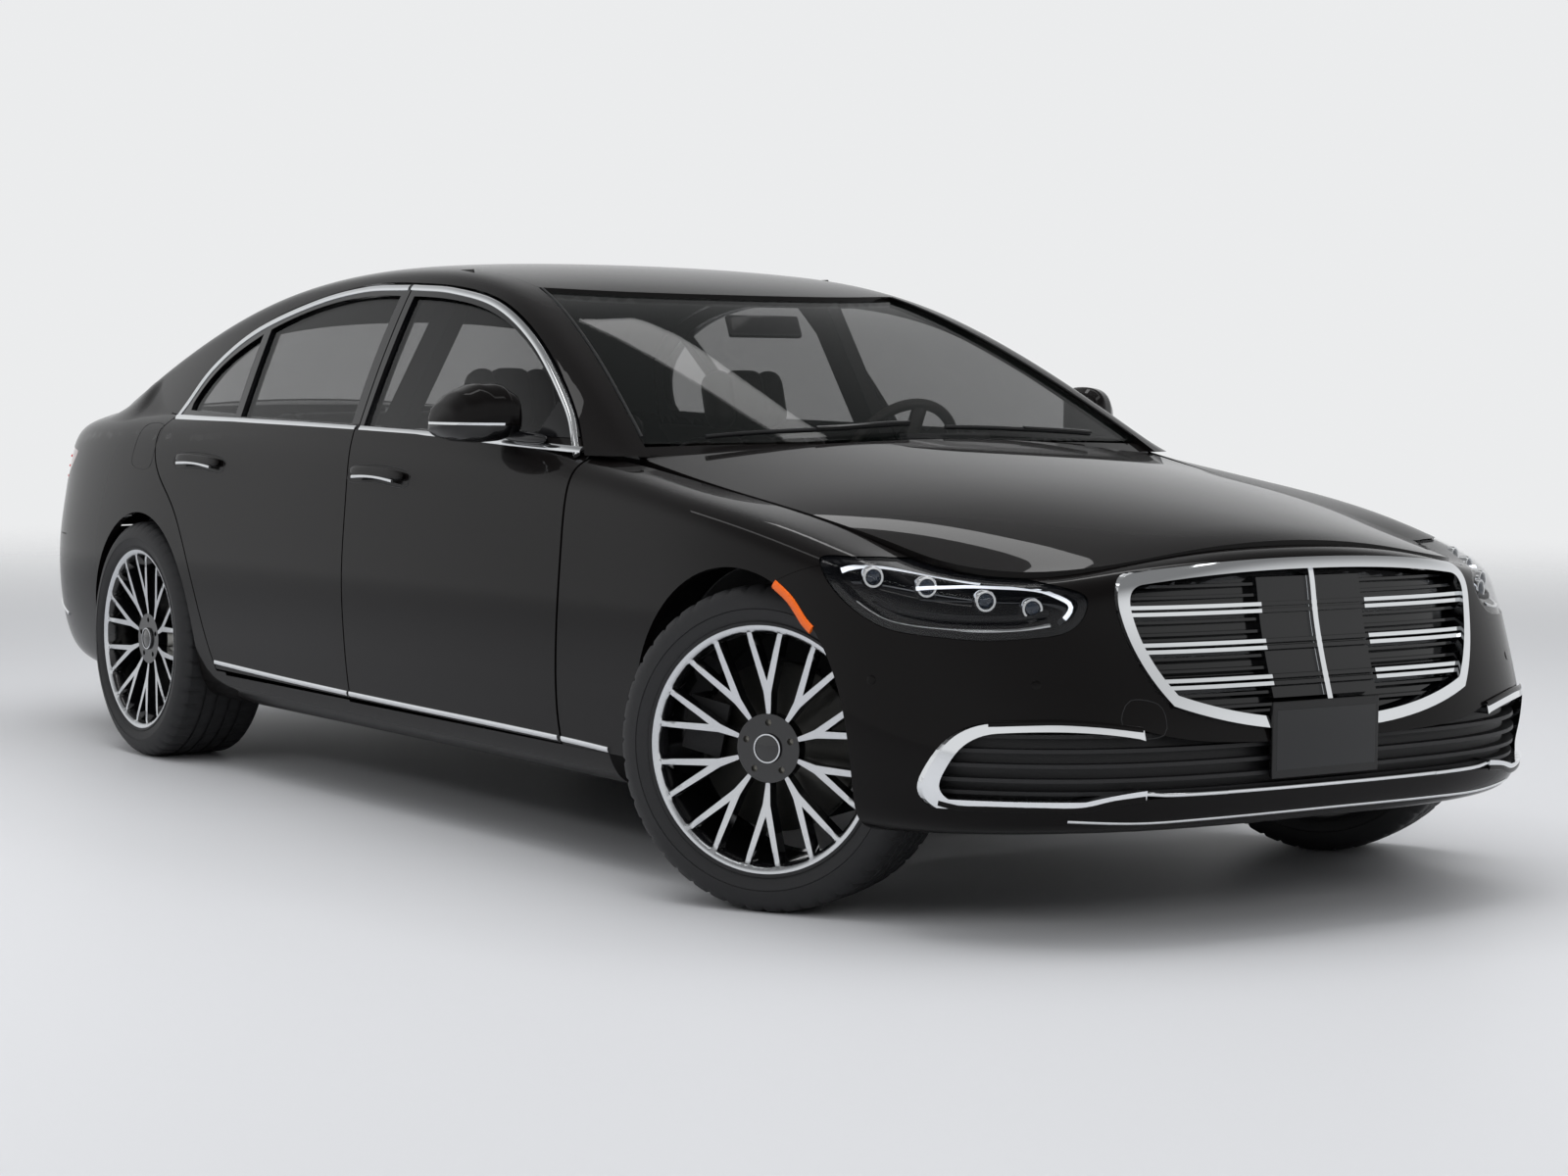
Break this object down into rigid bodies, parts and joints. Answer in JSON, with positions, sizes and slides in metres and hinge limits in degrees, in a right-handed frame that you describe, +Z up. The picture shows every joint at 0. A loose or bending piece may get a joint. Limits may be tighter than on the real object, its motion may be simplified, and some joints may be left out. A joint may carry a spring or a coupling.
{
  "type": "saloon car",
  "caption": "Long-wheelbase four-door saloon with upright chrome grille, forked-spoke wheels, long bonnet and short boot, with a furnished cabin",
  "frame": {"origin": "on the floor under the middle of the car's overall box", "axes": "+X is forward, +Y is the car's left, +Z is up"},
  "size_m": [5.2918, 2.188, 1.476],
  "materials": {
    "body_inner": "body inner",
    "paint": "gloss black lacquer",
    "screen_glass": "screen glass",
    "bumper_paint": "bumper paint",
    "chrome": "chrome",
    "black_plastic": "black plastic",
    "lamp_glass": "lamp glass",
    "lamp_red": "lamp red",
    "iron": "iron",
    "exhaust_steel": "exhaust steel",
    "chassis": "chassis",
    "seat_leather": "seat leather",
    "trim_plastic": "trim plastic",
    "rim_leather": "rim leather",
    "side_glass": "side glass",
    "tyre": "tyre",
    "alloy": "alloy",
    "disc_steel": "disc steel",
    "mirror_shell": "mirror shell",
    "knuckle_iron": "knuckle iron"
  },
  "bodies": {
    "shell": {"floor_pan": "body_inner", "body_sides": "paint", "roof_panel": "paint", "screens": "screen_glass", "fenders": "paint", "front_bumper": "bumper_paint", "rear_bumper": "bumper_paint", "grille": "chrome", "intakes": "black_plastic", "headlamps": "lamp_glass", "tail_lamps": "lamp_red", "engine_block": "iron", "exhaust": "exhaust_steel", "front_axle": "chassis", "rear_axle": "chassis", "front_seats": "seat_leather", "rear_seat": "seat_leather", "dashboard": "trim_plastic"},
    "bonnet": {"bonnet": "paint"},
    "boot_lid": {"boot_lid": "paint"},
    "steering_wheel": {"steering_wheel": "rim_leather"},
    "front_left_door": {"door_front_left": "paint", "glass_front_left": "side_glass", "mirror_left": "mirror_shell"},
    "front_left_wheel": {"tyre_front_left": "tyre", "rim_front_left": "alloy", "disc_front_left": "disc_steel"},
    "front_right_door": {"door_front_right": "paint", "glass_front_right": "side_glass", "mirror_right": "mirror_shell"},
    "front_right_wheel": {"tyre_front_right": "tyre", "rim_front_right": "alloy", "disc_front_right": "disc_steel"},
    "rear_left_door": {"door_rear_left": "paint", "glass_rear_left": "side_glass"},
    "rear_left_wheel": {"tyre_rear_left": "tyre", "rim_rear_left": "alloy", "disc_rear_left": "disc_steel"},
    "rear_right_door": {"door_rear_right": "paint", "glass_rear_right": "side_glass"},
    "rear_right_wheel": {"tyre_rear_right": "tyre", "rim_rear_right": "alloy", "disc_rear_right": "disc_steel"},
    "left_knuckle": {"knuckle_left": "knuckle_iron"},
    "right_knuckle": {"knuckle_right": "knuckle_iron"}
  },
  "joints": [
    {"name": "left_steer", "type": "hinge", "parent": "shell", "child": "left_knuckle", "pos_m": [1.783, 0.815, 0.356], "axis": [0, 0, 1], "range_deg": [-66.9, 9.1]},
    {"name": "right_steer", "type": "hinge", "parent": "shell", "child": "right_knuckle", "pos_m": [1.783, -0.815, 0.356], "axis": [0, 0, 1], "range_deg": [-66.9, 9.1]},
    {"name": "wheel_turn", "type": "hinge", "parent": "shell", "child": "steering_wheel", "pos_m": [0.56, 0.39, 0.93], "axis": [-0.8988, 0, 0.4384], "range_deg": [-936.6, 127.4]},
    {"name": "front_left_spin", "type": "hinge", "parent": "left_knuckle", "child": "front_left_wheel", "pos_m": [1.77575, 0.82813, 0.356], "axis": [-0.4833, 0.8755, 0], "continuous": true},
    {"name": "front_right_spin", "type": "hinge", "parent": "right_knuckle", "child": "front_right_wheel", "pos_m": [1.79025, -0.82813, 0.356], "axis": [-0.4833, 0.8755, 0], "continuous": true},
    {"name": "rear_left_spin", "type": "hinge", "parent": "shell", "child": "rear_left_wheel", "pos_m": [-1.433, 0.844, 0.35375], "axis": [0, 1, 0], "continuous": true},
    {"name": "front_left_door_hinge", "type": "hinge", "parent": "shell", "child": "front_left_door", "pos_m": [1.035, 0.979, 0.6], "axis": [0, 0, -1], "range_deg": [0, 68]},
    {"name": "rear_left_door_hinge", "type": "hinge", "parent": "shell", "child": "rear_left_door", "pos_m": [-0.08, 0.979, 0.6], "axis": [0, 0, -1], "range_deg": [0, 68]},
    {"name": "rear_right_spin", "type": "hinge", "parent": "shell", "child": "rear_right_wheel", "pos_m": [-1.433, -0.844, 0.35375], "axis": [0, 1, 0], "continuous": true},
    {"name": "front_right_door_hinge", "type": "hinge", "parent": "shell", "child": "front_right_door", "pos_m": [1.035, -0.979, 0.6], "axis": [0, 0, 1], "range_deg": [0, 68]},
    {"name": "rear_right_door_hinge", "type": "hinge", "parent": "shell", "child": "rear_right_door", "pos_m": [-0.08, -0.979, 0.6], "axis": [0, 0, 1], "range_deg": [0, 68]},
    {"name": "bonnet_hinge", "type": "hinge", "parent": "shell", "child": "bonnet", "pos_m": [1.16, 0, 1.02], "axis": [0, -1, 0], "range_deg": [0, 50]},
    {"name": "boot_hinge", "type": "hinge", "parent": "shell", "child": "boot_lid", "pos_m": [-2.15, 0, 1.08], "axis": [0, 1, 0], "range_deg": [0, 75]}
  ],
  "couplings": [
    {"joint": "right_steer", "follows": "left_steer", "ratio": 1},
    {"joint": "wheel_turn", "follows": "left_steer", "ratio": 14}
  ]
}
